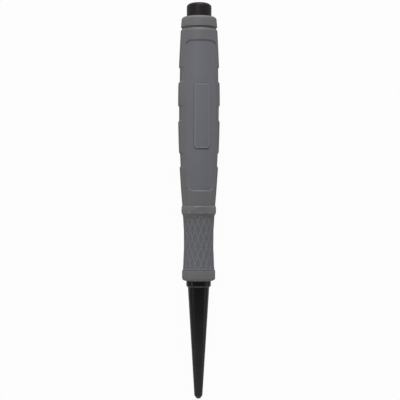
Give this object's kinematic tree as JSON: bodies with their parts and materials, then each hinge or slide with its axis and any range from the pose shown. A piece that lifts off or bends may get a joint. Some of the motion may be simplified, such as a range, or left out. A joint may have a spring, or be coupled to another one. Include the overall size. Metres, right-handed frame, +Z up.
{
  "type": "nail setter",
  "caption": "Nail setter: a black steel punch with a cupped tip and a struck head, in a grey moulded grip with a swelling barrel, side notches, sunk panels and a drawn-in textured waist.",
  "frame": {"origin": "on the bench surface under the middle of the tool, which lies on its side on its back panel", "axes": "+Y along the punch towards the struck end, -Y towards the tip, +Z up out of the front panel, X across"},
  "size_m": [0.0134, 0.127, 0.0132],
  "materials": {
    "black_steel": "black oxide, satin",
    "grip_smooth": "moulded grey vinyl, satin",
    "grip_panel": "moulded grey vinyl, smoother than the barrel",
    "grip_textured": "moulded grey vinyl with a diamond lattice"
  },
  "bodies": {
    "root": {"punch": "black_steel", "foot_ring": "grip_smooth", "waist_sleeve": "grip_textured", "finger_band": "grip_smooth", "barrel_grip": "grip_smooth", "front_panel": "grip_panel", "back_panel": "grip_panel", "cap_ring": "grip_smooth"}
  },
  "joints": []
}
